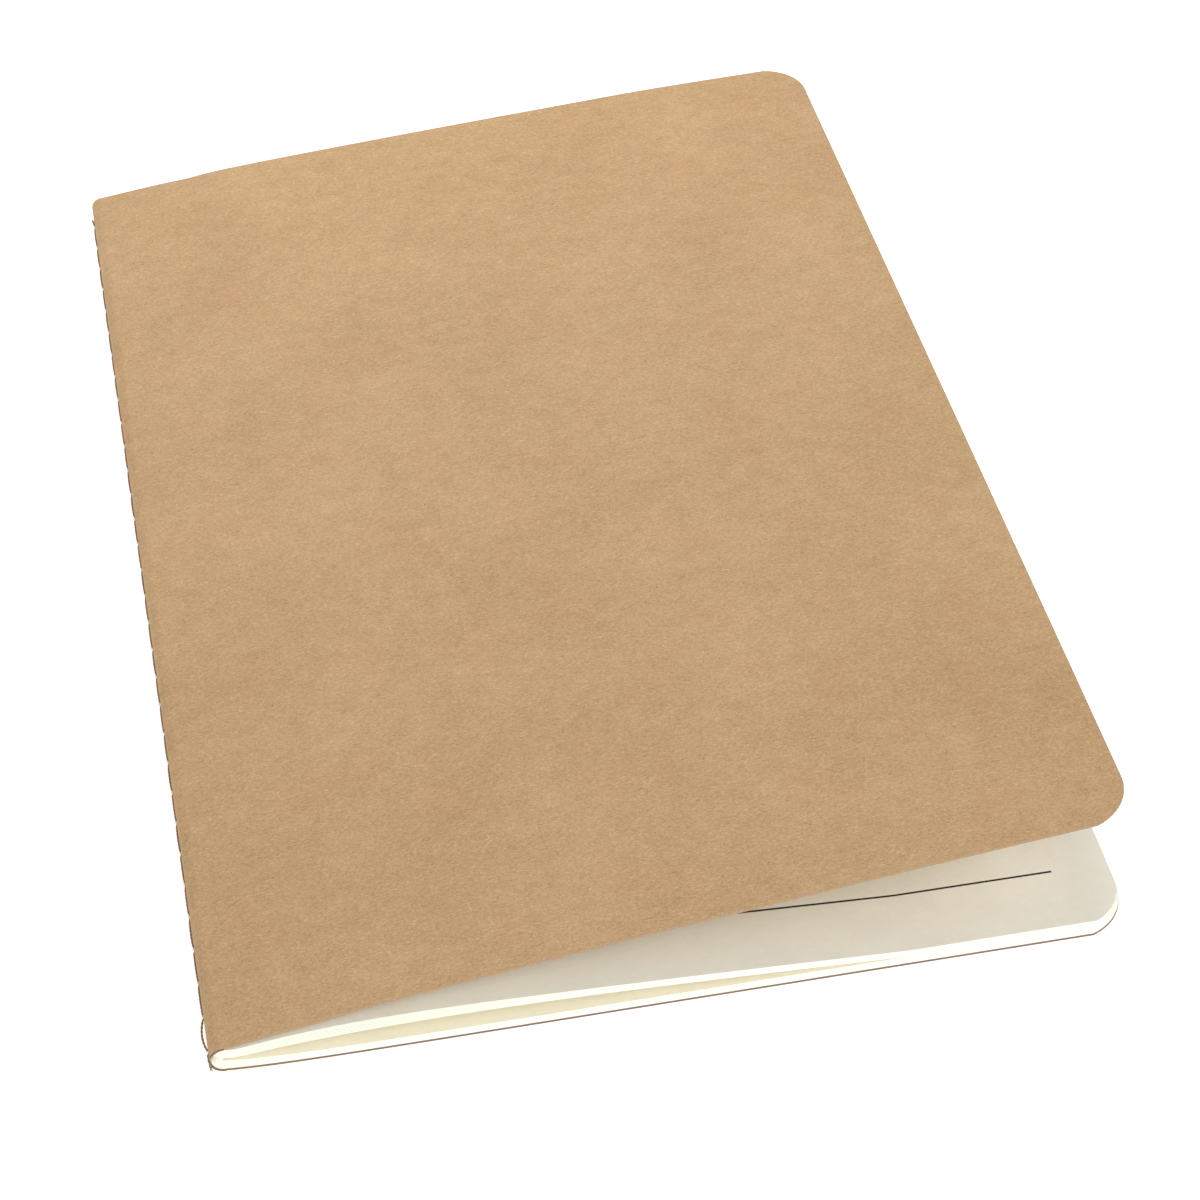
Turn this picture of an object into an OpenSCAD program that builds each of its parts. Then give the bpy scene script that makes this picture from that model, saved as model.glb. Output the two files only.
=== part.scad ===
// Pocket notebook: one sewn section of folded sheets in a kraft card cover,
// lying on its back cover with the front cover sprung slightly open.
// Frame: X runs from the spine to the fore edge, Y from tail to head, Z up.
// The origin is on the table, at the middle of the closed notebook's footprint.

/* [Page format] */
// Width from the spine to the fore edge
page_w = 90; // [75:1:105]
// Height from the tail to the head
page_h = 140; // [110:1:170]
// Radius of the two rounded fore-edge corners
corner_r = 5.5; // [3:0.5:9]

/* [Paper and card] */
// Thickness of one paper leaf
paper_t = 0.105; // [0.08:0.005:0.105]
// Thickness of the kraft cover card
card_t = 0.3; // [0.2:0.05:0.35]
// Height of the centre fold above the table
fold_z = 2.1; // [2.1:0.05:2.4]

/* [Front cover] */
// Angle of the cover at its crease, tail end, degrees
tail_crease = 10.6; // [10:0.1:12]
// Angle of the cover at its fore edge, tail end, degrees
tail_fore = 6; // [6:0.1:9]
// Angle of the cover at its crease, head end, degrees
head_crease = 8.6; // [8.5:0.1:14]
// Angle of the cover at its fore edge, head end, degrees
head_fore = 3.3; // [3:0.1:6]

/* [Page block] */
// Greatest height of the gap between the two halves of the section
centre_gap = 2.0; // [0.5:0.1:2]
// How far from the fold the gap closes
gap_len = 66; // [50:1:70]
// Extra room between the front leaves where they bow, per leaf
fan = 0.075; // [0:0.005:0.075]

/* [Sewing] */
// Distance between two needle holes
stitch_pitch = 4.35; // [4:0.05:4.35]
// First hole from the tail edge
first_hole = 1.2; // [1:0.1:2]
// Thickness of the thread
thread_d = 0.3; // [0.2:0.02:0.3]
// How far the loose last stitch stands off the spine
loose_bulge = 0.3; // [0.2:0.05:1]

/* [Hidden] */

sheets = 8;                       // sheet 1 is the outermost, sheet 8 the centre one
kraft = [0.78, 0.64, 0.47];
cream = [0.93, 0.90, 0.82];
thread_colour = [0.45, 0.34, 0.24];
bobbin_colour = [0.88, 0.84, 0.76];

fold_r = 0.2;                     // inner radius of the centre sheet's fold
fold_pitch = 0.14;                // spacing of the nested folds
strip_out = 1.6;                  // outer radius of the spine strip
strip_in = strip_out - card_t;    // inner radius of the spine strip
fold_x = strip_out;               // the fold axis, so that the spine's outer face is at x = 0
leaf_pitch = 0.11;                // spacing of leaves that lie flat on each other
fall = 4.6;                       // length over which the spine's swelling dies away
settle = 24;                      // beyond this the back half lies flat on the table
reach = page_w - fold_x;          // fold axis to fore edge
crease_z = fold_z + strip_in;     // underside of the front cover at its crease
cover_gap = 0.4;                  // the front cover starts this far from its crease line
holes = floor((page_h - first_hole - 2) / stitch_pitch) + 1;
lock_x = 0.7;                     // where spine thread and centre thread lock together

// Stations along the leaves, measured from the fold axis
flat_at = [0, 1, 2, 3.2, 4.6, 6.2, 8, 10.5, 14, 18, settle, reach];
bow_at = [0, 0.6, 1.2, 2, 3, 4.2, 5.6, 7.4, 9.6, 12, 15, 18, 21.5, 25, 29, 33, 37, 41,
          45, 49, 53, 57, 61, gap_len, reach];

// ---- height profiles, d = distance from the fold axis ----
function back_rise(d) = d >= settle ? 0
    : (exp(-d / fall) - exp(-settle / fall)) / (1 - exp(-settle / fall));
function cover_under(d) = (fold_z - strip_out) * back_rise(d);
function back_root(k) = fold_z - fold_r - (sheets - k) * fold_pitch - paper_t;
function back_flat(k) = card_t + 0.01 + (k - 1) * leaf_pitch;
// underside of back leaf k
function back_z(k, d) = back_flat(k) + (back_root(k) - back_flat(k)) * back_rise(d);
function block_top(d) = back_z(sheets, d) + paper_t;
function gap_z(d) = d >= gap_len ? 0
    : centre_gap * sin(180 * pow(d / gap_len, 0.62)) * (1 - exp(-d / 1.8));
function front_gap(d) = 2 * fold_r * exp(-d / 1.5) + 0.008 + gap_z(d);
function front_pitch(d) = leaf_pitch + (fold_pitch - leaf_pitch) * exp(-d / 2)
    + fan * (1 - exp(-d / 4)) * exp(-pow(max(d - 10, 0) / 18, 2));
// underside of front leaf k
function front_z(k, d) = block_top(d) + front_gap(d) + (sheets - k) * front_pitch(d);

// Shapes below are drawn from the tail end of the spine; this moves them to the frame
module place() translate([-page_w / 2, -page_h / 2, 0]) children();

// ---- outline shared by the leaves and the back cover ----
module trim_outline(x0) {
  translate([x0, 0]) square([page_w - corner_r - x0, page_h]);
  translate([page_w - corner_r, corner_r]) square([corner_r, page_h - 2 * corner_r]);
  translate([page_w - corner_r, corner_r]) circle(r = corner_r, $fn = 96);
  translate([page_w - corner_r, page_h - corner_r]) circle(r = corner_r, $fn = 96);
}

// Extrude an X-Z polygon over the page height and trim it to the outline
module sheet_between(low, high) {
  intersection() {
    translate([0, page_h + 1, 0]) rotate([90, 0, 0])
      linear_extrude(height = page_h + 2)
        polygon(concat(low, [for (i = [len(high) - 1:-1:0]) high[i]]));
    translate([0, 0, -1]) linear_extrude(height = 20) trim_outline(fold_x - 0.5);
  }
}

module back_leaf(k) {
  color(cream) place() sheet_between(
    [for (d = flat_at) [fold_x + d, back_z(k, d)]],
    [for (d = flat_at) [fold_x + d, back_z(k, d) + paper_t]]);
}

module front_leaf(k) {
  color(cream) place() sheet_between(
    [for (d = bow_at) [fold_x + d, front_z(k, d)]],
    [for (d = bow_at) [fold_x + d, front_z(k, d) + paper_t]]);
}

// Needle holes through the nested folds, as slits along the spine
module needle_holes() {
  for (i = [0:holes - 1])
    translate([-0.5, first_hole + i * stitch_pitch - 0.38, fold_z - 0.19])
      cube([fold_x + 0.5, 0.76, 0.38]);
}

// A half ring open towards the fore edge
module half_ring(r_in, r_out) {
  translate([fold_x, page_h, fold_z]) rotate([90, 0, 0])
    linear_extrude(height = page_h) difference() {
      circle(r = r_out, $fn = 64);
      circle(r = r_in, $fn = 64);
      translate([0, -r_out - 1]) square([r_out + 1, 2 * r_out + 2]);
    }
}

module fold(k) {
  r = fold_r + (sheets - k) * fold_pitch;
  color(cream) place() difference() {
    half_ring(r, r + paper_t);
    needle_holes();
  }
}

module back_cover() {
  color(kraft) place() sheet_between(
    [for (d = flat_at) [fold_x + d, cover_under(d)]],
    [for (d = flat_at) [fold_x + d, cover_under(d) + card_t]]);
}

// The strip of card that wraps the spine, with a short lip up to the crease
module spine_strip() {
  lip = 0.38;
  rise = lip * tan(tail_crease);
  color(kraft) place() difference() {
    union() {
      half_ring(strip_in, strip_out);
      translate([fold_x, page_h, fold_z]) rotate([90, 0, 0])
        linear_extrude(height = page_h)
          polygon([[-0.02, strip_in], [0, strip_in], [lip, strip_in + rise],
                   [lip - 0.06, strip_out + rise], [0, strip_out], [-0.02, strip_out]]);
    }
    needle_holes();
  }
}

// ---- front cover: a thin panel ruled between its tail and head profiles ----
function lean(fore, crease, p, u) = fore + (crease - fore) * pow(1 - u, p);
function lift(fore, crease, p, u) = (PI / 180) * reach
    * (fore * u + (crease - fore) / (p + 1) * (1 - pow(1 - u, p + 1)));
function mix(a, b, t) = a + (b - a) * t;
// s along the card from the crease, y across it
function panel_angle(s, y) = mix(lean(tail_fore, tail_crease, 1.2, s / reach),
                                 lean(head_fore, head_crease, 3.5, s / reach), y / page_h);
function panel_rise(s, y) = mix(lift(tail_fore, tail_crease, 1.2, s / reach),
                                lift(head_fore, head_crease, 3.5, s / reach), y / page_h);
function panel_run(s, y) = s * cos(asin(panel_rise(s, y) / max(s, 0.01)));
function corner_in(s) = s > reach - corner_r
    ? corner_r - sqrt(max(0, pow(corner_r, 2) - pow(s - reach + corner_r, 2))) : 0;
function panel_y(s, v) = mix(corner_in(s), page_h - corner_in(s), v);
function panel_low(s, v) = let (y = panel_y(s, v))
    [fold_x + panel_run(s, y), y, crease_z + panel_rise(s, y)];
function panel_high(s, v) = let (y = panel_y(s, v), a = panel_angle(s, y))
    panel_low(s, v) + card_t * [-sin(a), 0, cos(a)];

panel_s = [cover_gap, 2.2, 4.4, 7, 10, 14, 20, 28, 38, 50, 64, reach - corner_r - 6,
           reach - corner_r, reach - corner_r * 0.62, reach - corner_r * 0.34,
           reach - corner_r * 0.14, reach - corner_r * 0.035, reach];
panel_v = [0, 0.125, 0.25, 0.375, 0.5, 0.625, 0.75, 0.875, 1];

module front_cover() {
  ns = len(panel_s);
  nv = len(panel_v);
  n = ns * nv;
  pts = concat([for (s = panel_s, v = panel_v) panel_low(s, v)],
               [for (s = panel_s, v = panel_v) panel_high(s, v)]);
  low = [for (i = [0:ns - 2], j = [0:nv - 2]) each
         [[i * nv + j, (i + 1) * nv + j, (i + 1) * nv + j + 1],
          [i * nv + j, (i + 1) * nv + j + 1, i * nv + j + 1]]];
  high = [for (f = low) [f[0] + n, f[2] + n, f[1] + n]];
  tail = [for (i = [0:ns - 2]) each
          [[i * nv, i * nv + n, (i + 1) * nv + n], [i * nv, (i + 1) * nv + n, (i + 1) * nv]]];
  head = [for (i = [0:ns - 2]) let (a = i * nv + nv - 1, b = (i + 1) * nv + nv - 1) each
          [[a, b, b + n], [a, b + n, a + n]]];
  crease = [for (j = [0:nv - 2]) each [[j, j + 1, j + 1 + n], [j, j + 1 + n, j + n]]];
  fore = [for (j = [0:nv - 2]) let (a = (ns - 1) * nv + j) each
          [[a, a + n, a + 1 + n], [a, a + 1 + n, a + 1]]];
  color(kraft) place() polyhedron(points = pts, faces = concat(low, high, tail, head, crease, fore));
}

// ---- sewing: U-shaped stitches, two legs side by side in each hole ----
leg_off = 0.17;      // each leg's distance from the hole's centre

// One stitch: a bar along Y at bar_x with legs that run to lock_x
module stitch(y0, y1, bar_x, lock) {
  r = thread_d / 2;
  len_y = y1 - y0;
  dir = lock > bar_x ? 1 : -1;
  b = 0.16;          // bend radius of the thread's centre line
  translate([bar_x, y0 + b, fold_z]) rotate([-90, 0, 0]) cylinder(r = r, h = len_y - 2 * b, $fn = 24);
  for (s = [0, 1]) translate([bar_x, s ? y1 : y0, fold_z]) {
    translate([dir * b, 0, 0]) rotate([0, dir * 90, 0])
      cylinder(r = r, h = abs(lock - bar_x) - b, $fn = 24);
    translate([dir * b, s ? -b : b, 0])
      rotate([0, 0, dir > 0 ? (s ? 90 : 180) : (s ? 0 : 270)])
        rotate_extrude(angle = 90, $fn = 48) translate([b, 0]) circle(r = r, $fn = 24);
  }
}

module spine_thread() {
  bar_x = -thread_d / 2 - 0.01;
  color(thread_colour) place() for (i = [1:holes - 2])
    let (y = first_hole + i * stitch_pitch)
      stitch(y + leg_off, y + stitch_pitch - leg_off, bar_x, lock_x - 0.04);
}

// The last stitch at the tail has come loose and stands off the spine in a low arch
module loose_stitch() {
  r = thread_d / 2;
  y0 = first_hole + leg_off;
  y1 = first_hole + stitch_pitch - leg_off;
  half = (y1 - y0) / 2;
  bow_r = (half * half + loose_bulge * loose_bulge) / (2 * loose_bulge);
  half_a = asin(half / bow_r);
  color(thread_colour) place() {
    intersection() {
      translate([-0.16 - loose_bulge + bow_r, (y0 + y1) / 2, fold_z])
        rotate_extrude($fn = 96) translate([bow_r, 0]) circle(r = r, $fn = 24);
      translate([-5, y0 - 0.1, fold_z - 1]) cube([5 - 0.05, y1 - y0 + 0.2, 2]);
    }
    for (y = [y0, y1]) translate([-0.12, y, fold_z]) rotate([0, 90, 0])
      cylinder(r = r, h = lock_x - 0.04 + 0.12, $fn = 24);
  }
}

// The cut end of the thread, lying past the last hole towards the tail
module thread_end() {
  r = thread_d / 2;
  color(thread_colour) place() {
    translate([-0.02, first_hole - leg_off, fold_z]) rotate([0, 90, 0])
      cylinder(r = r, h = lock_x - 0.02, $fn = 24);
    translate([-r - 0.01, first_hole - leg_off + 0.1, fold_z])
      rotate([90, 0, 0]) cylinder(r = r, h = 1.6, $fn = 24);
  }
}

module centre_thread() {
  color(bobbin_colour) place() for (i = [0:holes - 2])
    let (y = first_hole + i * stitch_pitch)
      stitch(y + leg_off, y + stitch_pitch - leg_off, fold_x - 0.03, lock_x + 0.04);
}

back_cover();
spine_strip();
front_cover();
back_leaf(1);  // sheet_1_back_leaf
back_leaf(2);  // sheet_2_back_leaf
back_leaf(3);  // sheet_3_back_leaf
back_leaf(4);  // sheet_4_back_leaf
back_leaf(5);  // sheet_5_back_leaf
back_leaf(6);  // sheet_6_back_leaf
back_leaf(7);  // sheet_7_back_leaf
back_leaf(8);  // sheet_8_back_leaf
front_leaf(1);  // sheet_1_front_leaf
front_leaf(2);  // sheet_2_front_leaf
front_leaf(3);  // sheet_3_front_leaf
front_leaf(4);  // sheet_4_front_leaf
front_leaf(5);  // sheet_5_front_leaf
front_leaf(6);  // sheet_6_front_leaf
front_leaf(7);  // sheet_7_front_leaf
front_leaf(8);  // sheet_8_front_leaf
fold(1);  // sheet_1_fold
fold(2);  // sheet_2_fold
fold(3);  // sheet_3_fold
fold(4);  // sheet_4_fold
fold(5);  // sheet_5_fold
fold(6);  // sheet_6_fold
fold(7);  // sheet_7_fold
fold(8);  // sheet_8_fold
spine_thread();
loose_stitch();
thread_end();
centre_thread();
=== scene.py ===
import math
import bpy
import numpy as np
from mathutils import Matrix, Quaternion, Vector


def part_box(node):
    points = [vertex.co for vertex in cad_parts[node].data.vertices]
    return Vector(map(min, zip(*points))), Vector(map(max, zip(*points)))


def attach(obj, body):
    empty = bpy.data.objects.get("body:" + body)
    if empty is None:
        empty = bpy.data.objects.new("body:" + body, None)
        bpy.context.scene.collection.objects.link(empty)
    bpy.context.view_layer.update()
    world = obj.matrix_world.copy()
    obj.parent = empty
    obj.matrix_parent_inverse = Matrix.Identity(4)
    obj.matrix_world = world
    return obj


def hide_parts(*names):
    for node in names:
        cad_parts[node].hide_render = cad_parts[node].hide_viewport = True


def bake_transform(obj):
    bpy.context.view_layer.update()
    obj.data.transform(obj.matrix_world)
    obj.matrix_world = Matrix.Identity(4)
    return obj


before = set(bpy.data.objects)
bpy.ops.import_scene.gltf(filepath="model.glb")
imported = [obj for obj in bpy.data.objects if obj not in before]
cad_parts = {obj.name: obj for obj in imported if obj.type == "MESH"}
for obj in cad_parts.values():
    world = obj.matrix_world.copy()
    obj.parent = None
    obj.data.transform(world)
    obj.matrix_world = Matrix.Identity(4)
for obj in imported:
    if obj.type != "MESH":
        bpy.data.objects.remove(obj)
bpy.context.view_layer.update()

MM = 0.001
rng = np.random.default_rng(20451)

# ---------------------------------------------------------------- frame facts
# Lengths below are millimetres from the tail end of the spine; to_m() puts them in the CAD frame.
_lo, _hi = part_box("back_cover")
PAGE_W, PAGE_H = 90.0, (_hi.y - _lo.y) / MM
CORNER_R, CORNER_Y = 5.8, 5.5                           # the arc meets the fore edge smoothly, and tail and head at a slight angle
ORIGIN = np.array([_hi.x / MM - PAGE_W, _lo.y / MM, 0.0])
CARD, PAPER, FOLD_Z = 0.3, 0.105, 2.1
STRIP_OUT = 1.6
STRIP_IN = STRIP_OUT - CARD
FOLD_X = STRIP_OUT
REACH = PAGE_W - FOLD_X
FOLD_R, FOLD_PITCH, LEAF_PITCH = 0.2, 0.14, 0.11
FALL, SETTLE, GAP, GAP_LEN, FAN = 4.6, 24.0, 2.0, 66.0, 0.075
PITCH, HOLE0, LEG = 4.35, 1.2, 0.17
HOLES = int((PAGE_H - HOLE0 - 2) // PITCH) + 1
SHEETS = 8


def to_m(p):
    return (np.asarray(p, float) + ORIGIN) * MM


# ---------------------------------------------------------------- shape rules, the same as the CAD's
def back_rise(d):
    d = np.asarray(d, float)
    e = math.exp(-SETTLE / FALL)
    return np.where(d >= SETTLE, 0.0, (np.exp(-d / FALL) - e) / (1 - e))


def cover_under(d):
    return (FOLD_Z - STRIP_OUT) * back_rise(d)


def back_z(k, d):
    flat = CARD + 0.01 + (k - 1) * LEAF_PITCH
    root = FOLD_Z - FOLD_R - (SHEETS - k) * FOLD_PITCH - PAPER
    return flat + (root - flat) * back_rise(d)


def block_top(d):
    return back_z(SHEETS, d) + PAPER


def gap_z(d):
    u = np.clip(np.asarray(d, float) / GAP_LEN, 0, 1)
    return np.where(u >= 1, 0.0, GAP * np.sin(np.pi * u ** 0.62) * (1 - np.exp(-np.asarray(d, float) / 1.8)))


def front_pitch(d):
    d = np.asarray(d, float)
    return (LEAF_PITCH + (FOLD_PITCH - LEAF_PITCH) * np.exp(-d / 2)
            + FAN * (1 - np.exp(-d / 4)) * np.exp(-(np.maximum(d - 10, 0) / 18) ** 2))


def front_z(k, d):
    return block_top(d) + 2 * FOLD_R * np.exp(-np.asarray(d, float) / 1.5) + 0.008 + gap_z(d) + (SHEETS - k) * front_pitch(d)


# How far the front cover has risen above its crease at these distances along the card. It is scored
# about 10.4 mm in, which shows most at the head.
RUN = np.array([0, 4, 8, 10.4, 13.5, 18, 26, 40, 55, 70, REACH])
RISE_TAIL = np.array([0, 0.77, 1.46, 1.93, 2.56, 3.27, 4.45, 6.45, 8.38, 10.28, 12.4])
RISE_HEAD = np.array([0, 0.55, 1.06, 1.29, 1.79, 2.27, 2.93, 3.99, 5.06, 6.08, 6.85])


def smooth_rise(s, heights):
    """A smooth curve through the guide heights that never overshoots them, and its slope."""
    h = np.diff(RUN)
    g = np.diff(heights) / h
    m = np.concatenate([[g[0]], 2 * g[:-1] * g[1:] / (g[:-1] + g[1:]), [g[-1]]])
    i = np.clip(np.searchsorted(RUN, s, side="right") - 1, 0, len(h) - 1)
    t = (s - RUN[i]) / h[i]
    v = (heights[i] * (2 * t ** 3 - 3 * t ** 2 + 1) + h[i] * m[i] * (t ** 3 - 2 * t ** 2 + t)
         + heights[i + 1] * (3 * t ** 2 - 2 * t ** 3) + h[i] * m[i + 1] * (t ** 3 - t ** 2))
    d = ((heights[i] - heights[i + 1]) * (6 * t ** 2 - 6 * t) / h[i] + m[i] * (3 * t ** 2 - 4 * t + 1) + m[i + 1] * (3 * t ** 2 - 2 * t))
    return v, d


def panel(s, y, h):
    """A point of the front cover: s along the card, y across it, h from its inner to its outer face."""
    t = y / PAGE_H
    r0, d0 = smooth_rise(s, RISE_TAIL)
    r1, d1 = smooth_rise(s, RISE_HEAD)
    rise, slope = (1 - t) * r0 + t * r1, (1 - t) * d0 + t * d1
    # the slow wave of a card that has been handled
    u = np.clip(s / REACH, 0, 1)
    rise = rise + 0.05 * np.sin(y / 23.0 + 0.6) * u * (1 - 0.4 * u) + 0.02 * np.sin(s / 11.0 + y / 37.0) * np.minimum(1, s / 8)
    run = s * np.cos(np.arcsin(rise / np.maximum(s, 0.01)))
    a = np.arctan(slope)
    low = np.stack([FOLD_X + run, y, FOLD_Z + STRIP_IN + rise], -1)
    return low + (h * CARD)[..., None] * np.stack([-np.sin(a), 0 * a, np.cos(a)], -1)


# ---------------------------------------------------------------- mesh helpers
def build(name, verts, faces, rest, materials, face_mat=None, sharp=35):
    """A mesh object from points in millimetres. rest is each point's place on its own sheet, for the materials."""
    me = bpy.data.meshes.new(name)
    me.from_pydata(to_m(verts).tolist(), [], faces)
    me.update()
    a = me.attributes.new("rest_mm", "FLOAT_VECTOR", "POINT")
    a.data.foreach_set("vector", np.asarray(rest, np.float32).ravel())
    for m in materials:
        me.materials.append(m)
    if face_mat is not None:
        me.polygons.foreach_set("material_index", np.asarray(face_mat, np.int32))
    me.polygons.foreach_set("use_smooth", np.ones(len(me.polygons), bool))
    if sharp:
        me.set_sharp_from_angle(angle=math.radians(sharp))
    me.update()
    ob = bpy.data.objects.new(name, me)
    bpy.context.scene.collection.objects.link(ob)
    return ob


def sheet(name, point, s0, s1, ns, nv, inset, materials, rim_h=(0.28, 0.72), corner=(CORNER_R, CORNER_Y),
          trim=None, tighten=2.4, high_mat=0, low_mat=0, seed=0):
    """A thin closed sheet with two rounded corners at s1. point(s, y, h) gives each point in millimetres."""
    t = np.linspace(0, 1, ns)
    near, far = t ** tighten, 1 - (1 - t) ** 1.0
    u = near * (1 - t) + far * t                      # stations packed near the fold
    cr, cy = corner
    cs = s1 - cr                                      # and round the corner, whose centre is (cs, cy)
    th = np.linspace(math.acos(cy / cr), np.pi / 2, 16)
    s_flat = s0 + u * (cs + cr * math.sin(th[0]) - s0)
    v = np.linspace(0, 1, nv)
    v = v + 0.06 * np.sin(2 * np.pi * v) * -1         # a little denser at tail and head
    jit = trim if trim is not None else (0.0, 0.0, 0.0)

    def grid(ins):
        s = np.concatenate([s_flat[:-1], cs + (cr - ins) * np.sin(th)])
        y_in = np.concatenate([np.full(ns - 1, ins), np.maximum(ins, cy - (cr - ins) * np.cos(th))])
        S = np.repeat(s[:, None], nv, 1)
        lo = y_in[:, None] + jit[0]
        hi = PAGE_H - y_in[:, None] + jit[1]
        Y = lo + (hi - lo) * v[None, :]
        S = S + jit[2] * np.clip((S - 20) / 60, 0, 1)
        return S, Y

    S, Y = grid(inset)
    n_s = len(S)
    low = point(S.ravel(), Y.ravel(), np.zeros(S.size))
    high = point(S.ravel(), Y.ravel(), np.ones(S.size))
    loop = ([(i, 0) for i in range(n_s - 1)] + [(n_s - 1, j) for j in range(nv - 1)]
            + [(i, nv - 1) for i in range(n_s - 1, 0, -1)] + [(0, j) for j in range(nv - 1, 0, -1)])
    li = np.array([i for i, _ in loop])
    lj = np.array([j for _, j in loop])
    S0, Y0 = grid(0.0)
    ps, py = S0[li, lj], Y0[li, lj]
    rings = [point(ps, py, np.full(len(loop), h)) for h in rim_h]
    n = n_s * nv
    verts = np.concatenate([low, high] + rings)
    side = np.concatenate([np.full(n, -40.0), np.full(n, 40.0)] + [np.full(len(loop), 4.0 * h) for h in rim_h])
    rest = np.stack([np.concatenate([S.ravel(), S.ravel()] + [ps] * len(rim_h)),
                     np.concatenate([Y.ravel(), Y.ravel()] + [py] * len(rim_h)), side + seed * 7.3], 1)
    faces, fm = [], []
    idx = np.arange(n).reshape(n_s, nv)
    a, b, c, d = idx[:-1, :-1].ravel(), idx[1:, :-1].ravel(), idx[1:, 1:].ravel(), idx[:-1, 1:].ravel()
    faces += np.stack([a, d, c, b], 1).tolist()
    fm += [low_mat] * len(a)
    faces += np.stack([a + n, b + n, c + n, d + n], 1).tolist()
    fm += [high_mat] * len(a)
    m = len(loop)
    levels = [idx[li, lj]] + [2 * n + m * q + np.arange(m) for q in range(len(rim_h))] + [idx[li, lj] + n]
    for lower, upper in zip(levels[:-1], levels[1:]):
        faces += np.stack([lower, np.roll(lower, -1), np.roll(upper, -1), upper], 1).tolist()
        fm += [1] * m
    return build(name, verts, faces, rest, materials, fm)


def smooth_path(points, step):
    """A Catmull-Rom curve through the points, sampled about every step."""
    p = np.asarray(points, float)
    q = np.vstack([2 * p[0] - p[1], p, 2 * p[-1] - p[-2]])
    out = []
    for i in range(1, len(q) - 2):
        n = max(2, int(np.linalg.norm(q[i + 1] - q[i]) / step))
        t = np.linspace(0, 1, n, endpoint=False)[:, None]
        out.append(0.5 * (2 * q[i] + (q[i + 1] - q[i - 1]) * t + (2 * q[i - 1] - 5 * q[i] + 4 * q[i + 1] - q[i + 2]) * t ** 2
                          + (3 * q[i] - q[i - 1] - 3 * q[i + 1] + q[i + 2]) * t ** 3))
    out.append(p[-1:])
    return np.concatenate(out)


def frames(path):
    tan = np.gradient(path, axis=0)
    tan /= np.linalg.norm(tan, axis=1)[:, None]
    nrm = np.cross(tan[0], [0.0, 0.0, 1.0])
    if np.linalg.norm(nrm) < 1e-3:
        nrm = np.cross(tan[0], [1.0, 0, 0])
    nrm /= np.linalg.norm(nrm)
    ns = [nrm]
    for i in range(1, len(path)):
        nrm = ns[-1] - tan[i] * (ns[-1] @ tan[i])
        ns.append(nrm / np.linalg.norm(nrm))
    ns = np.array(ns)
    return tan, ns, np.cross(tan, ns)


def tube(path, radius, sides, store, taper=None, tag=0.0):
    """Adds a closed tube along the path to store = (verts, faces, rest)."""
    verts, faces, rest = store
    _, n, b = frames(path)
    base = sum(len(v) for v in verts)
    ang = np.linspace(0, 2 * np.pi, sides, endpoint=False)
    r = np.full(len(path), radius) if taper is None else radius * taper
    ring = path[:, None, :] + r[:, None, None] * (np.cos(ang)[None, :, None] * n[:, None, :] + np.sin(ang)[None, :, None] * b[:, None, :])
    verts.append(ring.reshape(-1, 3))
    run = np.concatenate([[0], np.cumsum(np.linalg.norm(np.diff(path, axis=0), axis=1))])
    rest.append(np.stack([np.repeat(run, sides), np.tile(ang, len(path)), np.full(len(path) * sides, tag)], 1))
    k = np.arange(len(path) - 1)[:, None] * sides
    j = np.arange(sides)[None, :]
    a = base + k + j
    bb = base + k + (j + 1) % sides
    faces.extend(np.stack([a.ravel(), bb.ravel(), (bb + sides).ravel(), (a + sides).ravel()], 1).tolist())
    faces.append([base + q for q in range(sides)][::-1])
    e = base + (len(path) - 1) * sides
    faces.append([e + q for q in range(sides)])


def twisted(path, store, dia=0.3, plies=2, pitch=0.95, sides=7, phase=0.0, spread=None, tag=0.0):
    """A plied thread: plies wound round the path."""
    _, n, b = frames(path)
    run = np.concatenate([[0], np.cumsum(np.linalg.norm(np.diff(path, axis=0), axis=1))])
    off = dia * 0.235 * (np.ones(len(path)) if spread is None else spread)
    for q in range(plies):
        phi = 2 * np.pi * (run / pitch + q / plies) + phase
        centre = path + off[:, None] * (np.cos(phi)[:, None] * n + np.sin(phi)[:, None] * b)
        tube(centre, dia * 0.265, sides, store, tag=tag + q * 1.7)


def thread_object(name, store, material):
    verts, faces, rest = store
    return build(name, np.concatenate(verts), faces, np.concatenate(rest), [material], sharp=0)


# ---------------------------------------------------------------- materials
def nodes_of(name):
    m = bpy.data.materials.new(name)
    m.use_nodes = True
    nt = m.node_tree
    nt.nodes.clear()
    out = nt.nodes.new("ShaderNodeOutputMaterial")
    bsdf = nt.nodes.new("ShaderNodeBsdfPrincipled")
    nt.links.new(bsdf.outputs["BSDF"], out.inputs["Surface"])
    return m, nt, bsdf


def N(nt, kind, **kw):
    n = nt.nodes.new(kind)
    for k, v in kw.items():
        if k.startswith("i_"):
            n.inputs[k[2:].replace("_", " ")].default_value = v
        else:
            setattr(n, k, v)
    return n


def srgb(r, g, b):
    f = lambda c: c / 12.92 if c <= 0.04045 else ((c + 0.055) / 1.055) ** 2.4
    return (f(r / 255), f(g / 255), f(b / 255), 1.0)


def coords(nt):
    return N(nt, "ShaderNodeAttribute", attribute_name="rest_mm").outputs["Vector"]


def mapped(nt, vec, scale=(1, 1, 1), loc=(0, 0, 0), rot=(0, 0, 0)):
    m = N(nt, "ShaderNodeMapping")
    nt.links.new(vec, m.inputs["Vector"])
    m.inputs["Scale"].default_value = scale
    m.inputs["Location"].default_value = loc
    m.inputs["Rotation"].default_value = rot
    return m.outputs["Vector"]


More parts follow.
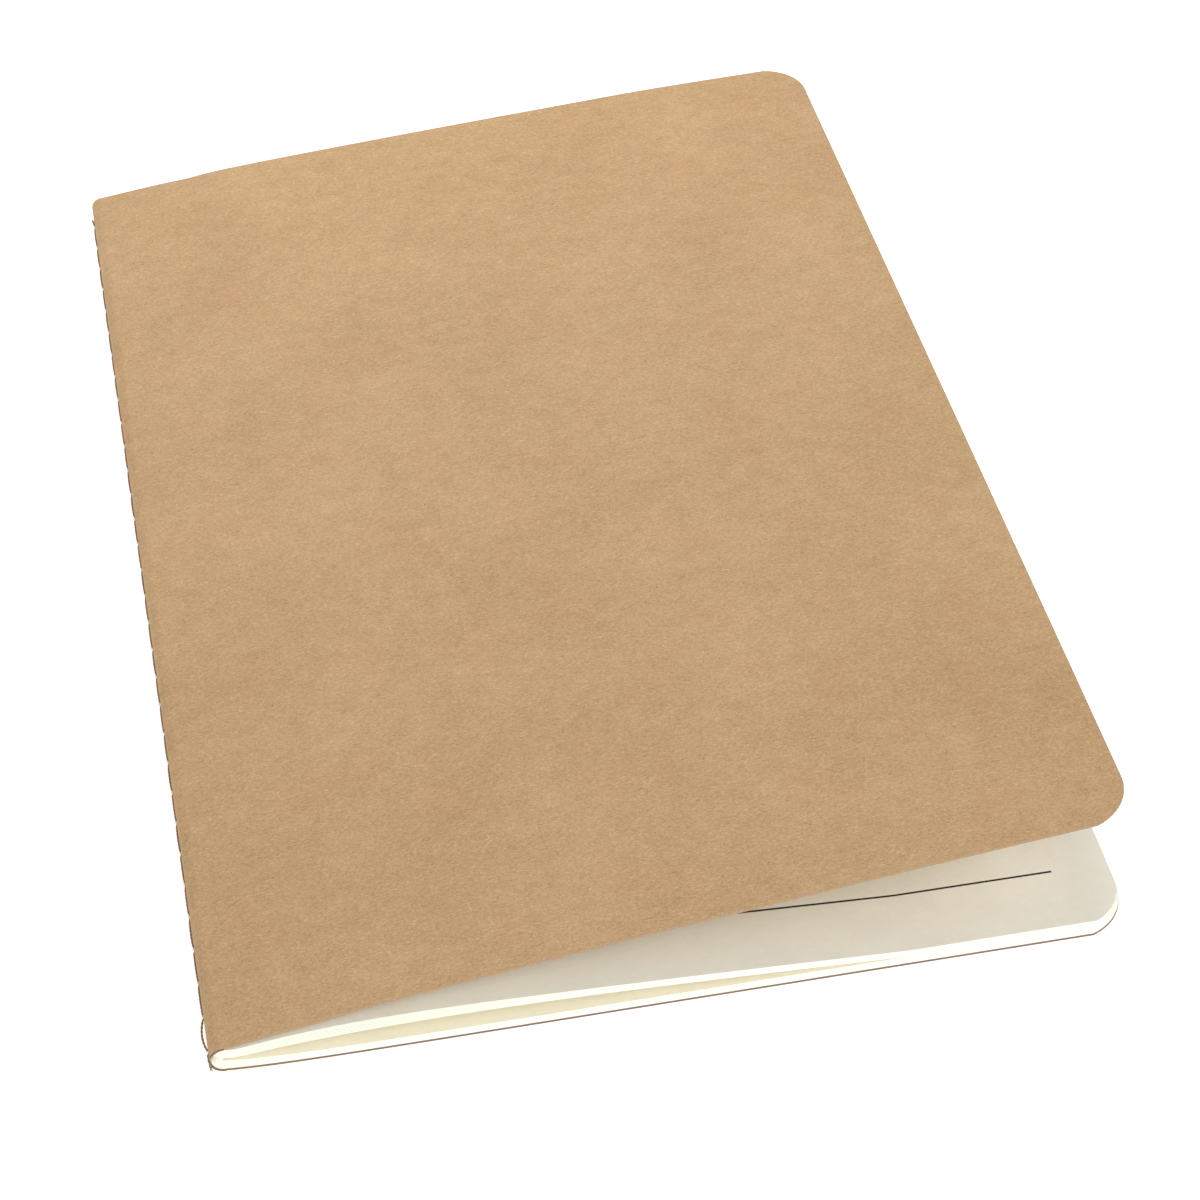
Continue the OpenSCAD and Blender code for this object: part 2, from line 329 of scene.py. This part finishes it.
def noise(nt, vec, scale, detail=2.0, rough=0.5, distortion=0.0, dims="3D"):
    n = N(nt, "ShaderNodeTexNoise", noise_dimensions=dims)
    nt.links.new(vec, n.inputs["Vector"])
    n.inputs["Scale"].default_value = scale
    n.inputs["Detail"].default_value = detail
    n.inputs["Roughness"].default_value = rough
    n.inputs["Distortion"].default_value = distortion
    return n.outputs["Fac"]


def math_(nt, op, a, b=None, c=None, clamp=False):
    m = N(nt, "ShaderNodeMath", operation=op, use_clamp=clamp)
    for i, x in enumerate((a, b, c)):
        if x is None:
            continue
        if isinstance(x, (int, float)):
            m.inputs[i].default_value = x
        else:
            nt.links.new(x, m.inputs[i])
    return m.outputs[0]


def ramp(nt, fac, lo, hi, smooth=True):
    """0 below lo, 1 above hi."""
    m = N(nt, "ShaderNodeMapRange", interpolation_type="SMOOTHSTEP" if smooth else "LINEAR")
    nt.links.new(fac, m.inputs["Value"])
    m.inputs["From Min"].default_value = lo
    m.inputs["From Max"].default_value = hi
    return m.outputs["Result"]


def mix(nt, fac, a, b):
    m = N(nt, "ShaderNodeMix", data_type="RGBA", blend_type="MIX")
    for sock, x in ((m.inputs["Factor"], fac), (m.inputs[6], a), (m.inputs[7], b)):
        if hasattr(x, "links") or hasattr(x, "is_linked"):
            nt.links.new(x, sock)
        else:
            sock.default_value = x
    return m.outputs[2]


def fibres(nt, vec, scale, angle, stretch, lo, hi, seed):
    """Short straight-ish fibres lying one way: a stretched noise cut to its crests."""
    v = mapped(nt, vec, scale=(1, stretch, 1), rot=(0, 0, math.radians(angle)), loc=(seed * 13.7, seed * 5.1, seed * 3.3))
    n = noise(nt, v, scale, detail=1.0, rough=0.4, distortion=0.35)
    return ramp(nt, n, lo, hi)


def kraft_material(name="kraft_card", edge=None, inner=False):
    m, nt, bsdf = nodes_of(name)
    v = coords(nt)
    patches = noise(nt, v, 0.06, detail=2.0, rough=0.5)
    cloud = noise(nt, mapped(nt, v, scale=(0.85, 1.1, 1)), 0.45, detail=3.0, rough=0.6)
    grain = noise(nt, v, 2.4, detail=3.0, rough=0.7)
    fine = noise(nt, v, 5.5, detail=2.0, rough=0.6)
    tone = math_(nt, "MULTIPLY_ADD", patches, 0.45, 0.5 - 0.5 * (0.45 + 0.5 + 0.9 + 1.1))
    tone = math_(nt, "MULTIPLY_ADD", cloud, 0.5, tone)
    tone = math_(nt, "MULTIPLY_ADD", grain, 0.9, tone)
    tone = math_(nt, "MULTIPLY_ADD", fine, 1.1, tone)
    col = mix(nt, tone, K_DARK, K_LIGHT)
    # a faint pink cast drifts over the card
    pink = ramp(nt, noise(nt, mapped(nt, v, loc=(31, 7, 2)), 0.12, detail=2.0), 0.52, 0.78)
    col = mix(nt, math_(nt, "MULTIPLY", pink, 0.35), col, K_PINK)
    # dark and light fibres lying every way, denser in some places than in others
    dark = light = None
    for i in range(5):
        f = fibres(nt, v, 1.9, 11 + 37 * i, 4.2, 0.635, 0.73, i + 1)
        g = fibres(nt, v, 2.0, 29 + 37 * i, 4.2, 0.635, 0.73, i + 9)
        dark = f if dark is None else math_(nt, "MAXIMUM", dark, f)
        light = g if light is None else math_(nt, "MAXIMUM", light, g)
    dense = ramp(nt, noise(nt, mapped(nt, v, loc=(5, 17, 3)), 0.5, detail=2.0), 0.25, 0.75)
    col = mix(nt, math_(nt, "MULTIPLY", dark, math_(nt, "MULTIPLY_ADD", dense, 0.28, 0.09)), col, K_FLECK_D)
    col = mix(nt, math_(nt, "MULTIPLY", light, math_(nt, "MULTIPLY_ADD", dense, -0.16, 0.35)), col, K_FLECK_L)
    hair = fibres(nt, v, 0.8, 63, 9.0, 0.78, 0.83, 21)
    hair = math_(nt, "MAXIMUM", hair, fibres(nt, v, 0.8, 152, 9.0, 0.78, 0.83, 25))
    col = mix(nt, math_(nt, "MULTIPLY", hair, 0.6), col, K_FLECK_D)
    # a few specks of darker pulp
    vor = N(nt, "ShaderNodeTexVoronoi", feature="F1")
    nt.links.new(mapped(nt, v, loc=(3, 9, 1)), vor.inputs["Vector"])
    vor.inputs["Scale"].default_value = 0.42
    speck = math_(nt, "SUBTRACT", 1.0, ramp(nt, vor.outputs["Distance"], 0.03, 0.075))
    col = mix(nt, math_(nt, "MULTIPLY", speck, 0.35), col, K_FLECK_D)
    if inner:
        col = mix(nt, 0.6, col, K_INNER)
    if edge:
        col = mix(nt, 0.85, col, edge)
    nt.links.new(col, bsdf.inputs["Base Color"])
    rough = math_(nt, "MULTIPLY_ADD", cloud, 0.16, 0.74)
    nt.links.new(rough, bsdf.inputs["Roughness"])
    bsdf.inputs["Specular IOR Level"].default_value = 0.28
    height = math_(nt, "MULTIPLY_ADD", grain, 0.6, math_(nt, "MULTIPLY", fine, 0.25))
    height = math_(nt, "MULTIPLY_ADD", light, 0.25, height)
    height = math_(nt, "MULTIPLY_ADD", dark, -0.2, height)
    bump = N(nt, "ShaderNodeBump")
    bump.inputs["Strength"].default_value = 0.35
    bump.inputs["Distance"].default_value = 0.00003
    nt.links.new(height, bump.inputs["Height"])
    nt.links.new(bump.outputs["Normal"], bsdf.inputs["Normal"])
    return m


def paper_material(name, ruled=False, edge=False, centre=False):
    m, nt, bsdf = nodes_of(name)
    v = coords(nt)
    cloud = noise(nt, v, 0.22, detail=3.0, rough=0.55)
    form = noise(nt, mapped(nt, v, scale=(1.0, 1.3, 1)), 1.4, detail=3.0, rough=0.6)
    grain = noise(nt, v, 7.0, detail=2.0, rough=0.55)
    tone = math_(nt, "MULTIPLY_ADD", cloud, 0.45, math_(nt, "MULTIPLY_ADD", form, 0.35, math_(nt, "MULTIPLY", grain, 0.2)))
    # centre pages get lighter, warmer paper colours: painted light for the bounce light inside the opening.
    low, high = (P_EDGE_D, P_EDGE_L) if edge else (P_PAINTED_LIGHT_D, P_PAINTED_LIGHT_L) if centre else (P_DARK, P_LIGHT)
    col = mix(nt, ramp(nt, tone, 0.28, 0.72), low, high)
    if not edge:
        # hairs of fibre, hardly darker than the sheet
        f = fibres(nt, v, 1.0, 33, 7.0, 0.74, 0.82, 3)
        g = fibres(nt, v, 1.1, 118, 7.0, 0.74, 0.82, 5)
        col = mix(nt, math_(nt, "MULTIPLY", math_(nt, "MAXIMUM", f, g), 0.12), col, P_FIBRE)
    if ruled:
        sep = N(nt, "ShaderNodeSeparateXYZ")
        nt.links.new(v, sep.inputs["Vector"])
        wob = math_(nt, "MULTIPLY_ADD", noise(nt, v, 3.0, detail=2.0), 0.03, 7.155 + 0.006 * LINE_END)
        wob = math_(nt, "MULTIPLY_ADD", sep.outputs["X"], -0.006, wob)
        dist = math_(nt, "ABSOLUTE", math_(nt, "SUBTRACT", sep.outputs["Y"], wob))
        across = math_(nt, "SUBTRACT", 1.0, ramp(nt, dist, 0.095, 0.145))
        start = ramp(nt, sep.outputs["X"], 9.9, 10.0)
        stop = math_(nt, "SUBTRACT", 1.0, ramp(nt, sep.outputs["X"], LINE_END - 0.06, LINE_END + 0.04))
        ink = math_(nt, "MULTIPLY", math_(nt, "MULTIPLY", across, start), stop)
        ink = math_(nt, "MULTIPLY", ink, math_(nt, "MULTIPLY_ADD", grain, 0.2, 0.88, clamp=True))
        col = mix(nt, ink, col, INK)
    nt.links.new(col, bsdf.inputs["Base Color"])
    nt.links.new(math_(nt, "MULTIPLY_ADD", form, 0.14, 0.72), bsdf.inputs["Roughness"])
    bsdf.inputs["Specular IOR Level"].default_value = 0.25
    bump = N(nt, "ShaderNodeBump")
    bump.inputs["Strength"].default_value = 0.22 if not edge else 0.4
    bump.inputs["Distance"].default_value = 0.00002
    nt.links.new(math_(nt, "MULTIPLY_ADD", grain, 0.5, math_(nt, "MULTIPLY", form, 0.5)), bump.inputs["Height"])
    nt.links.new(bump.outputs["Normal"], bsdf.inputs["Normal"])
    return m


def thread_material(name, dark, light):
    m, nt, bsdf = nodes_of(name)
    v = coords(nt)
    strand = noise(nt, mapped(nt, v, scale=(1.6, 5.0, 1)), 2.2, detail=3.0, rough=0.6)
    slow = noise(nt, v, 0.6, detail=2.0)
    tone = math_(nt, "MULTIPLY_ADD", strand, 0.8, math_(nt, "MULTIPLY", slow, 0.35))
    nt.links.new(mix(nt, ramp(nt, tone, 0.35, 0.8), dark, light), bsdf.inputs["Base Color"])
    nt.links.new(math_(nt, "MULTIPLY_ADD", strand, 0.25, 0.55), bsdf.inputs["Roughness"])
    bsdf.inputs["Sheen Weight"].default_value = 0.25
    bsdf.inputs["Sheen Roughness"].default_value = 0.5
    bump = N(nt, "ShaderNodeBump")
    bump.inputs["Strength"].default_value = 0.5
    bump.inputs["Distance"].default_value = 0.00003
    nt.links.new(strand, bump.inputs["Height"])
    nt.links.new(bump.outputs["Normal"], bsdf.inputs["Normal"])
    return m


LINE_END = 83.6 - FOLD_X
K_DARK, K_LIGHT = srgb(166, 131, 89), srgb(209, 173, 131)
K_INNER = srgb(200, 168, 112)
K_PINK = srgb(192, 146, 106)
K_FLECK_D, K_FLECK_L = srgb(118, 89, 58), srgb(233, 204, 161)
P_DARK, P_LIGHT = srgb(232, 232, 222), srgb(239, 240, 231)
# Centre-page paper, lighter and warmer than the rest: painted light.
P_PAINTED_LIGHT_D, P_PAINTED_LIGHT_L = srgb(242, 236, 215), srgb(249, 244, 224)
P_EDGE_D, P_EDGE_L = srgb(228, 228, 213), srgb(236, 236, 222)
P_FIBRE = srgb(213, 203, 176)
INK = srgb(42, 32, 31)

kraft = kraft_material()
kraft_in = kraft_material("kraft_card_inside", inner=True)
kraft_edge = kraft_material("kraft_cut_edge", edge=srgb(156, 131, 105))
# The back cover's and spine strip's cut edges: partly the card's own darker cut edge, partly painted shade where they
# meet the floor.
kraft_edge_dark_and_painted_shade = kraft_material("kraft_cut_edge_dark_with_painted_shade", edge=srgb(94, 80, 76))
paper = paper_material("cream_paper")
paper_ruled = paper_material("cream_paper_first_page", ruled=True)
paper_centre_painted_light = paper_material("cream_paper_centre_pages_painted_light", centre=True)
paper_edge = paper_material("cream_paper_cut_edge", edge=True)
brown = thread_material("sewing_thread", srgb(91, 64, 43), srgb(156, 118, 82))
cream_thread = thread_material("bobbin_thread", srgb(206, 194, 168), srgb(252, 245, 225))

# ---------------------------------------------------------------- camera
cam = bpy.data.cameras.new("camera")
cam.sensor_fit = "AUTO"
cam.sensor_width = 36.0
cam.lens = 98.613
cam.clip_start, cam.clip_end = 0.01, 20.0
camera = bpy.data.objects.new("camera", cam)
bpy.context.scene.collection.objects.link(camera)
camera.location = (-0.0429835, -0.2728184, 0.2378457)
camera.rotation_mode = "QUATERNION"
camera.rotation_quaternion = Quaternion((0.90876977, 0.40603497, -0.03089785, -0.09120542))
bpy.context.scene.camera = camera

# ---------------------------------------------------------------- covers
COVER_END = REACH - 0.2
NS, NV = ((90, 120))

front = sheet("front_cover_card", panel, 0.0, COVER_END, NS, NV, 0.045, [kraft, kraft_edge, kraft_in], low_mat=2)
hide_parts("front_cover")
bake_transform(front)


def back_panel(s, y, h):
    z = cover_under(s) + CARD * h
    return np.stack([FOLD_X + s, y, z], -1)


back = sheet("back_cover_card", back_panel, 0.0, COVER_END, NS, NV, 0.045, [kraft, kraft_edge_dark_and_painted_shade, kraft_in], high_mat=2, seed=3)
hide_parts("back_cover")
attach(back, "back_half")

# the spine strip: a half ring whose outer face is pulled in a little at each needle hole
hole_y = HOLE0 + PITCH * np.arange(HOLES)
na = 26
ys = np.unique(np.concatenate([np.linspace(0, PAGE_H, 150)]
                              + [h + np.array([-0.55, -0.38, -0.24, -0.12, 0, 0.12, 0.24, 0.38, 0.55]) for h in hole_y]))
ys = ys[(ys >= 0) & (ys <= PAGE_H)]
ang = np.linspace(-np.pi / 2, -3 * np.pi / 2, na)     # from the bottom, round the left, to the top
A, Yg = np.meshgrid(ang, ys, indexing="ij")
near = np.abs(Yg[..., None] - hole_y).min(-1)
arc_z = (A + np.pi) * STRIP_OUT
sewn = np.clip((Yg - HOLE0 + 0.6) / 0.6, 0, 1) * np.clip((hole_y[-1] + 0.6 - Yg) / 0.6, 0, 1)
pinch = np.exp(-(near / 0.34) ** 2) * np.exp(-(arc_z / 0.42) ** 2)
pressed = 0.12 * np.exp(-(arc_z / 0.8) ** 2) + sewn * 0.06 * np.exp(-(arc_z / 0.16) ** 2)
verts, rest = [], []
for r, side in ((STRIP_IN, -40.0), (STRIP_OUT, 40.0)):
    rr = r - (pinch * 0.12 + pressed if side > 0 else pinch * 0.05)
    P = np.stack([FOLD_X + rr * np.cos(A), Yg, FOLD_Z + rr * np.sin(A)], -1)
    verts.append(P.reshape(-1, 3))
    run = -(A + 3 * np.pi / 2) * 1.45
    rest.append(np.stack([run.ravel(), Yg.ravel(), np.full(A.size, side)], 1))
n, ny = A.size, len(ys)
idx = np.arange(n).reshape(na, ny)
a, b, c, d = idx[:-1, :-1].ravel(), idx[1:, :-1].ravel(), idx[1:, 1:].ravel(), idx[:-1, 1:].ravel()
faces = np.stack([a, b, c, d], 1).tolist() + np.stack([a + n, d + n, c + n, b + n], 1).tolist()
fm = [0] * len(faces)
loop = [(i, 0) for i in range(na - 1)] + [(na - 1, j) for j in range(ny - 1)] + [(i, ny - 1) for i in range(na - 1, 0, -1)] + [(0, j) for j in range(ny - 1, 0, -1)]
lp = np.array([idx[i, j] for i, j in loop])
rim = np.stack([lp, lp + n, np.roll(lp, -1) + n, np.roll(lp, -1)], 1).tolist()
faces += rim
fm += [1] * len(rim)
strip = build("spine_strip_card", np.concatenate(verts), faces, np.concatenate(rest), [kraft, kraft_edge_dark_and_painted_shade], fm)
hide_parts("spine_strip")
ax = to_m([FOLD_X, 0, FOLD_Z])


def turn_evenly(obj):
    """Bakes the piece's transform into its mesh and reads its points relative to the fold line, without moving them."""
    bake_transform(obj)
    co = np.empty(len(obj.data.vertices) * 3)
    obj.data.vertices.foreach_get("co", co)
    co = co.reshape(-1, 3) - np.array(ax)


turn_evenly(strip)

# ---------------------------------------------------------------- the sheets
LS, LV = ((62, 66))
for k in range(1, SHEETS + 1):
    tail, head, fore = rng.normal(0, 0.018, 3)
    for half, zf in (("back", back_z), ("front", front_z)):
        w1, w2, w3 = rng.uniform(0, 6.28, 3)

        def leaf(s, y, h, k=k, zf=zf, w=(w1, w2, w3)):
            # hardly any cockle: less than the space between two leaves
            z = zf(k, s) + 0.0018 * (np.sin(s / 9.0 + w[0]) + np.sin(y / 17.0 + w[1])) * np.clip(s / 6, 0, 1)
            return np.stack([FOLD_X + s, y, z + PAPER * h], -1)

        name = f"sheet_{k}_{half}_leaf"
        first = k == 1 and half == "front"
        up = ((k - 1) if half == "back" else (2 * SHEETS - k)) / (2 * SHEETS - 1)     # place in the block, 0 to 1
        end = COVER_END - 0.03 - 0.5 * up ** 1.5
        # The centre sheet's leaves face the opening and get the paper with painted light.
        ob = sheet(name + "_paper", leaf, 0.0, end, LS, LV, 0.012,
                   [paper, paper_edge, paper_ruled] if first else [paper_centre_painted_light if k == SHEETS else paper, paper_edge],
                   rim_h=(0.5,), corner=(CORNER_R - 0.3 * up, CORNER_Y - 0.5 * up), trim=(abs(tail), -abs(head), -abs(fore)), high_mat=2 if first else 0, seed=k + (9 if half == "front" else 0))
        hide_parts(name)
        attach(ob, half + "_half")
    # the fold that joins the two leaves
    r0 = FOLD_R + (SHEETS - k) * FOLD_PITCH
    fa = np.linspace(-np.pi / 2, -3 * np.pi / 2, 16)
    fy = np.linspace(abs(tail), PAGE_H - abs(head), 90)
    A, Yg = np.meshgrid(fa, fy, indexing="ij")
    verts, rest = [], []
    for r, side in ((r0, -40.0), (r0 + PAPER, 40.0)):
        verts.append(np.stack([FOLD_X + r * np.cos(A), Yg, FOLD_Z + r * np.sin(A)], -1).reshape(-1, 3))
        rest.append(np.stack([-(A.ravel() + np.pi) * r, Yg.ravel(), np.full(A.size, side + 5 * k)], 1))
    n, ny, na_ = A.size, len(fy), len(fa)
    idx = np.arange(n).reshape(na_, ny)
    a, b, c, d = idx[:-1, :-1].ravel(), idx[1:, :-1].ravel(), idx[1:, 1:].ravel(), idx[:-1, 1:].ravel()
    faces = np.stack([a, b, c, d], 1).tolist() + np.stack([a + n, d + n, c + n, b + n], 1).tolist()
    fm = [0] * len(faces)
    loop = [(i, 0) for i in range(na_ - 1)] + [(na_ - 1, j) for j in range(ny - 1)] + [(i, ny - 1) for i in range(na_ - 1, 0, -1)] + [(0, j) for j in range(ny - 1, 0, -1)]
    lp = np.array([idx[i, j] for i, j in loop])
    rim = np.stack([lp, lp + n, np.roll(lp, -1) + n, np.roll(lp, -1)], 1).tolist()
    ob = build(f"sheet_{k}_fold_paper", np.concatenate(verts), faces + rim, np.concatenate(rest), [paper, paper_edge], fm + [1] * len(rim))
    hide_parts(f"sheet_{k}_fold")
    turn_evenly(ob)

# ---------------------------------------------------------------- the sewing
BAR, SKIN = 0.09, 0.18                               # how far out the thread lies, and the card under it
THREAD = 0.25
store = ([], [], [])
for i in range(1, HOLES - 1):
    y0, y1 = hole_y[i] + LEG, hole_y[i + 1] - LEG
    dz, bow, dz2 = rng.normal(0, 0.03), abs(rng.normal(0, 0.02)), rng.normal(0, 0.02)
    pts = [(0.8, y0, FOLD_Z), (0.45, y0, FOLD_Z), (SKIN + 0.06, y0 + 0.03, FOLD_Z + dz2), (BAR + 0.03, y0 + 0.24, FOLD_Z + dz * 0.5),
           (BAR - bow, (y0 + y1) / 2 - 0.8, FOLD_Z + dz), (BAR - bow, (y0 + y1) / 2 + 0.8, FOLD_Z + dz),
           (BAR + 0.03, y1 - 0.24, FOLD_Z + dz * 0.5), (SKIN + 0.06, y1 - 0.03, FOLD_Z - dz2), (0.45, y1, FOLD_Z), (0.8, y1, FOLD_Z)]
    twisted(smooth_path(pts, 0.09), store, dia=THREAD, phase=rng.uniform(0, 6.28), tag=i * 3.1)
ye = hole_y[-1] + LEG                                 # and a short end past the last hole
pts = [(0.8, ye, FOLD_Z), (0.45, ye, FOLD_Z), (SKIN + 0.05, ye + 0.04, FOLD_Z + 0.04), (BAR, ye + 0.35, FOLD_Z + 0.1),
       (BAR - 0.03, ye + 0.8, FOLD_Z + 0.16), (BAR - 0.06, ye + 1.15, FOLD_Z + 0.12)]
path = smooth_path(pts, 0.08)
twisted(path, store, dia=THREAD * 1.15, phase=2.0, spread=1 + 1.2 * np.clip(np.linspace(-2, 1, len(path)), 0, 1))
ob = thread_object("spine_thread_plies", store, brown)
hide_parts("spine_thread")
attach(ob, "spine")

store = ([], [], [])
y0, y1 = hole_y[0] + LEG, hole_y[1] - LEG
pts = [(0.8, y0, FOLD_Z), (0.45, y0, FOLD_Z), (SKIN + 0.04, y0 + 0.02, FOLD_Z), (0.0, y0 + 0.35, FOLD_Z - 0.05),
       (-0.19, (y0 + y1) / 2 - 0.6, FOLD_Z - 0.12), (-0.2, (y0 + y1) / 2 + 0.5, FOLD_Z - 0.1),
       (-0.02, y1 - 0.4, FOLD_Z - 0.03), (SKIN + 0.02, y1 - 0.03, FOLD_Z), (0.45, y1, FOLD_Z), (0.8, y1, FOLD_Z)]
twisted(smooth_path(pts, 0.08), store, dia=THREAD, phase=1.0)
ob = thread_object("loose_stitch_plies", store, brown)
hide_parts("loose_stitch")
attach(ob, "spine")

store = ([], [], [])
ye = hole_y[0] - LEG
pts = [(0.8, ye, FOLD_Z), (0.45, ye, FOLD_Z), (SKIN + 0.02, ye - 0.03, FOLD_Z), (BAR, ye - 0.25, FOLD_Z - 0.08),
       (BAR, ye - 0.6, FOLD_Z - 0.3), (BAR + 0.05, ye - 0.9, FOLD_Z - 0.62), (BAR + 0.12, ye - 1.05, FOLD_Z - 0.95)]
path = smooth_path(pts, 0.07)
spread = 1 + 1.6 * np.clip((np.arange(len(path)) / len(path) - 0.7) / 0.3, 0, 1) ** 1.5
twisted(path, store, dia=THREAD, phase=0.4, spread=spread)
for q in range(9):                                    # the cut end frays
    o = path[-3] + rng.normal(0, 0.05, 3)
    e = o + np.array([rng.uniform(-0.12, 0.15), -rng.uniform(0.2, 0.5), rng.uniform(-0.3, 0.12)])
    tube(smooth_path([o, (o + e) / 2 + rng.normal(0, 0.04, 3), e], 0.06), 0.018, 5, store, tag=q)
ob = thread_object("thread_end_plies", store, brown)
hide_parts("thread_end")
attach(ob, "spine")

store = ([], [], [])
INNER = FOLD_X - 0.03
for i in range(HOLES - 1):
    y0, y1 = hole_y[i] + LEG, hole_y[i + 1] - LEG
    dz = rng.normal(0, 0.012)
    pts = [(0.8, y0, FOLD_Z), (INNER - 0.3, y0, FOLD_Z), (INNER - 0.06, y0 + 0.05, FOLD_Z), (INNER, y0 + 0.25, FOLD_Z + dz),
           (INNER, (y0 + y1) / 2, FOLD_Z + dz), (INNER, y1 - 0.25, FOLD_Z + dz), (INNER - 0.06, y1 - 0.05, FOLD_Z),
           (INNER - 0.3, y1, FOLD_Z), (0.8, y1, FOLD_Z)]
    twisted(smooth_path(pts, 0.1), store, dia=0.27, phase=rng.uniform(0, 6.28), tag=i * 2.3)
for i, hy in enumerate(hole_y):                       # where the two threads lock, a little of this one shows in each hole
    s = rng.uniform(0.8, 1.15)
    z = FOLD_Z + 0.05 + rng.normal(0, 0.02)
    pts = [(0.7, hy - 0.05, FOLD_Z), (0.3, hy - 0.07, z), (0.14 - 0.06 * s, hy - 0.06, z + 0.05), (0.1 - 0.06 * s, hy, z + 0.09),
           (0.14 - 0.06 * s, hy + 0.06, z + 0.05), (0.3, hy + 0.07, z), (0.7, hy + 0.05, FOLD_Z)]
    twisted(smooth_path(pts, 0.06), store, dia=0.2, sides=6, phase=i * 1.0, tag=i * 1.3)
    for q in range(2):                                # and a stray hair or two
        o = np.array([0.1, hy + rng.normal(0, 0.05), z + 0.07])
        e = o + np.array([-rng.uniform(0.05, 0.2), rng.normal(0, 0.14), rng.normal(0.05, 0.12)])
        tube(smooth_path([o, (o + e) / 2 + rng.normal(0, 0.02, 3), e], 0.05), 0.012, 5, store, tag=q)
for q in range(14):                                   # a tuft of fluff at the tail, where it was cut off
    o = np.array([0.48, 0.05, FOLD_Z + 0.55]) + rng.normal(0, 0.09, 3) * np.array([1, 0.5, 1])
    e = o + np.array([rng.uniform(-0.35, 0.35), -rng.uniform(0.15, 0.5), rng.uniform(-0.25, 0.3)])
    tube(smooth_path([o + np.array([0.05, 0.6, -0.1]), o, (o + e) / 2 + rng.normal(0, 0.06, 3), e], 0.06), 0.02, 5, store, tag=q)
ob = thread_object("centre_thread_plies", store, cream_thread)
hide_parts("centre_thread")
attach(ob, "spine")

# ---------------------------------------------------------------- floor and light
me = bpy.data.meshes.new("floor")
me.from_pydata([(-30, -30, -0.00003), (30, -30, -0.00003), (30, 30, -0.00003), (-30, 30, -0.00003)], [], [(0, 1, 2, 3)])
floor = bpy.data.objects.new("floor", me)
bpy.context.scene.collection.objects.link(floor)
fm_, nt, bsdf = nodes_of("studio_floor")
v = N(nt, "ShaderNodeTexCoord").outputs["Object"]
n1 = noise(nt, v, 3.0, detail=2.0)
nt.links.new(mix(nt, n1, (0.93, 0.93, 0.93, 1), (0.96, 0.96, 0.96, 1)), bsdf.inputs["Base Color"])
bsdf.inputs["Roughness"].default_value = 0.9
bsdf.inputs["Specular IOR Level"].default_value = 0.1
bsdf.inputs["Emission Color"].default_value = (1, 1, 1, 1)
bsdf.inputs["Emission Strength"].default_value = 0.42
me.materials.append(fm_)

world = bpy.data.worlds.new("studio")
bpy.context.scene.world = world
world.use_nodes = True
bg = world.node_tree.nodes["Background"]
bg.inputs["Color"].default_value = (1.0, 1.0, 1.0, 1)
bg.inputs["Strength"].default_value = 0.23


def area(name, loc, target, size, power, colour=(1, 1, 1)):
    l = bpy.data.lights.new(name, "AREA")
    l.shape = "RECTANGLE"
    l.size, l.size_y = size
    l.energy = power
    l.color = colour
    o = bpy.data.objects.new(name, l)
    bpy.context.scene.collection.objects.link(o)
    o.location = loc
    o.rotation_mode = "QUATERNION"
    o.rotation_quaternion = (Vector(target) - Vector(loc)).to_track_quat("-Z", "Y")
    return o


area("key", (-0.35, -0.95, 0.78), (0, 0, 0), (0.9, 0.7), 6.35, (1.0, 0.99, 0.975))
area("front", (-0.1, -0.95, 0.27), (0, -0.07, 0), (1.5, 0.45), 3.8, (1.0, 0.995, 0.97))
area("fill", (0.95, -0.4, 0.62), (0, 0, 0), (0.9, 0.9), 7.2, (0.985, 0.99, 1.0))
area("head", (-0.03, 0.22, 0.26), (0, 0.05, 0), (0.25, 0.2), 0.68, (0.95, 0.975, 1.0))

vs = bpy.context.scene.view_settings
vs.view_transform = "Standard"
vs.look = "None"
vs.exposure = 0.0
vs.gamma = 1.0
